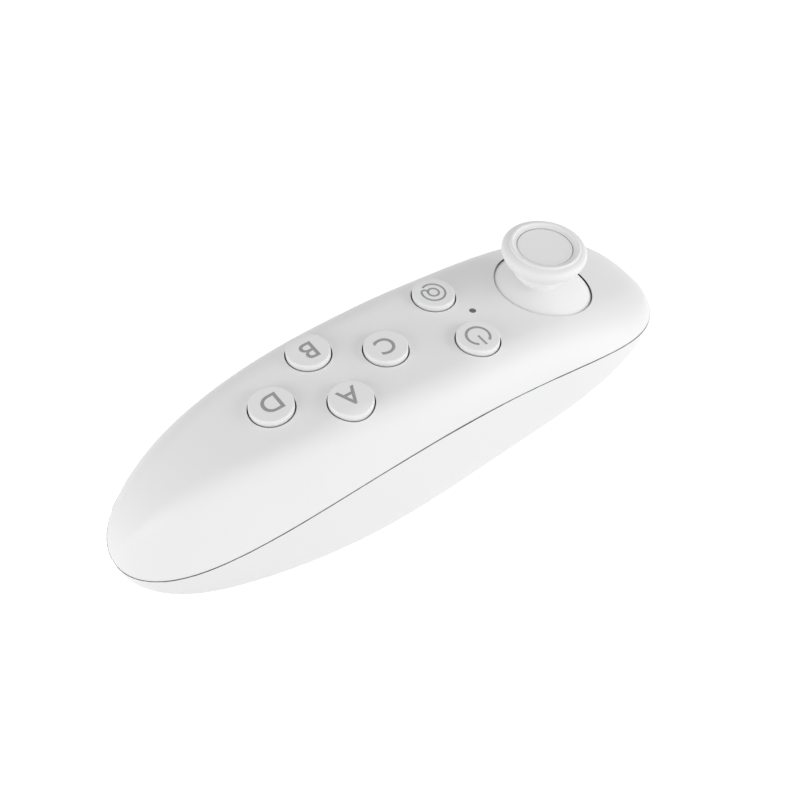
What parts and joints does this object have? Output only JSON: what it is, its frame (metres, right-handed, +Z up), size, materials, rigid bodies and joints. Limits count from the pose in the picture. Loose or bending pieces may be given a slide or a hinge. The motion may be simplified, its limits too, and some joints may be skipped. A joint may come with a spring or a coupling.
{
  "type": "handheld controller",
  "caption": "White hand-held remote with a flat thumb face of round buttons, a sprung thumbstick near the nose, triggers below it and a battery bay in the belly.",
  "frame": {"origin": "middle of the footprint, on the flat of the belly that it rests on", "axes": "+X from tail to nose, +Y to the left of the thumb face, +Z up through the thumb face"},
  "size_m": [0.1308, 0.0382, 0.0497],
  "materials": {
    "button_white": "satin moulded plastic",
    "cell_wrap": "plain shrink sleeve",
    "chip_black": "moulded chip body",
    "circuit_board": "solder-masked board",
    "contact_nickel": "nickel-plated strip",
    "flex_amber": "polyimide strip",
    "housing_white": "satin moulded plastic",
    "lamp": "surface-mount lamp",
    "light_pipe": "smoked clear plastic",
    "plunger_black": "moulded plunger",
    "screw_steel": "zinc-plated steel",
    "sensor_body": "moulded sensor body",
    "shaft_grey": "acetal",
    "shield_steel": "tinned steel",
    "spring_steel": "spring wire",
    "stick_pad": "matt soft-touch disc",
    "stick_white": "satin moulded plastic",
    "switch_body": "moulded switch body",
    "trigger_grey": "matt moulded plastic"
  },
  "bodies": {
    "housing": {"board_chips": "chip_black", "board_screws": "screw_steel", "bottom_shell": "housing_white", "bridge_contact": "contact_nickel", "bridge_spring": "spring_steel", "cell_left": "cell_wrap", "cell_right": "cell_wrap", "centring_spring": "spring_steel", "fore_aft_sensor": "sensor_body", "key_switches": "switch_body", "light_pipe": "light_pipe", "main_board": "circuit_board", "minus_contact": "contact_nickel", "minus_spring": "spring_steel", "plus_contact": "contact_nickel", "radio_board": "circuit_board", "radio_shield": "shield_steel", "shell_screws": "screw_steel", "side_sensor": "sensor_body", "spring_seat": "shaft_grey", "status_lamp": "lamp", "stick_board": "circuit_board", "stick_board_screws": "screw_steel", "stick_flex": "flex_amber", "stick_frame": "shield_steel", "top_shell": "housing_white", "trigger_board": "circuit_board", "trigger_board_screws": "screw_steel", "trigger_flex": "flex_amber", "trigger_switches": "switch_body"},
    "battery_door": {"battery_door": "housing_white"},
    "fore_aft_rocker": {"fore_aft_rocker": "shaft_grey"},
    "side_arc": {"side_arc": "shaft_grey"},
    "stick": {"stick_cap": "stick_white", "stick_pad": "stick_pad", "stick_skirt": "stick_white", "stick_shaft": "shaft_grey"},
    "trigger_upper": {"trigger_upper": "trigger_grey", "trigger_plunger_upper": "plunger_black"},
    "trigger_lower": {"trigger_lower": "trigger_grey", "trigger_plunger_lower": "plunger_black"},
    "button_a": {"button_a": "button_white", "plunger_a": "plunger_black"},
    "button_b": {"button_b": "button_white", "plunger_b": "plunger_black"},
    "button_c": {"button_c": "button_white", "plunger_c": "plunger_black"},
    "button_d": {"button_d": "button_white", "plunger_d": "plunger_black"},
    "button_mode": {"button_mode": "button_white", "plunger_mode": "plunger_black"},
    "button_power": {"button_power": "button_white", "plunger_power": "plunger_black"}
  },
  "joints": [
    {"name": "door_pull", "type": "slide", "parent": "housing", "child": "battery_door", "axis": [0, 0, -1], "range_m": [0, 0.02]},
    {"name": "stick_fore_aft", "type": "hinge", "parent": "housing", "child": "fore_aft_rocker", "pos_m": [0.0367, 0, 0.025], "axis": [0, 1, 0], "range_deg": [-13, 13], "stiffness_Nm_per_rad": 0.04},
    {"name": "stick_side", "type": "hinge", "parent": "fore_aft_rocker", "child": "stick", "pos_m": [0.0367, 0, 0.025], "axis": [0.994, 0, -0.1097], "range_deg": [-13, 13], "stiffness_Nm_per_rad": 0.04},
    {"name": "side_arc_turn", "type": "hinge", "parent": "housing", "child": "side_arc", "pos_m": [0.0367, 0, 0.025], "axis": [0.994, 0, -0.1097], "range_deg": [-13, 13]},
    {"name": "button_a_press", "type": "slide", "parent": "housing", "child": "button_a", "axis": [0, 0, -1], "range_m": [0, 0.0006], "stiffness_N_per_m": 2000},
    {"name": "button_b_press", "type": "slide", "parent": "housing", "child": "button_b", "axis": [0, 0, -1], "range_m": [0, 0.0006], "stiffness_N_per_m": 2000},
    {"name": "button_c_press", "type": "slide", "parent": "housing", "child": "button_c", "axis": [0, 0, -1], "range_m": [0, 0.0006], "stiffness_N_per_m": 2000},
    {"name": "button_d_press", "type": "slide", "parent": "housing", "child": "button_d", "axis": [0, 0, -1], "range_m": [0, 0.0006], "stiffness_N_per_m": 2000},
    {"name": "button_mode_press", "type": "slide", "parent": "housing", "child": "button_mode", "axis": [0, 0, -1], "range_m": [0, 0.0006], "stiffness_N_per_m": 2000},
    {"name": "button_power_press", "type": "slide", "parent": "housing", "child": "button_power", "axis": [0, 0, -1], "range_m": [0, 0.0006], "stiffness_N_per_m": 2000},
    {"name": "trigger_upper_press", "type": "slide", "parent": "housing", "child": "trigger_upper", "axis": [-0.565, 0, 0.8251], "range_m": [0, 0.0006], "stiffness_N_per_m": 2000},
    {"name": "trigger_lower_press", "type": "slide", "parent": "housing", "child": "trigger_lower", "axis": [-0.565, 0, 0.8251], "range_m": [0, 0.0006], "stiffness_N_per_m": 2000}
  ],
  "couplings": [
    {"joint": "side_arc_turn", "follows": "stick_side", "ratio": 1}
  ]
}
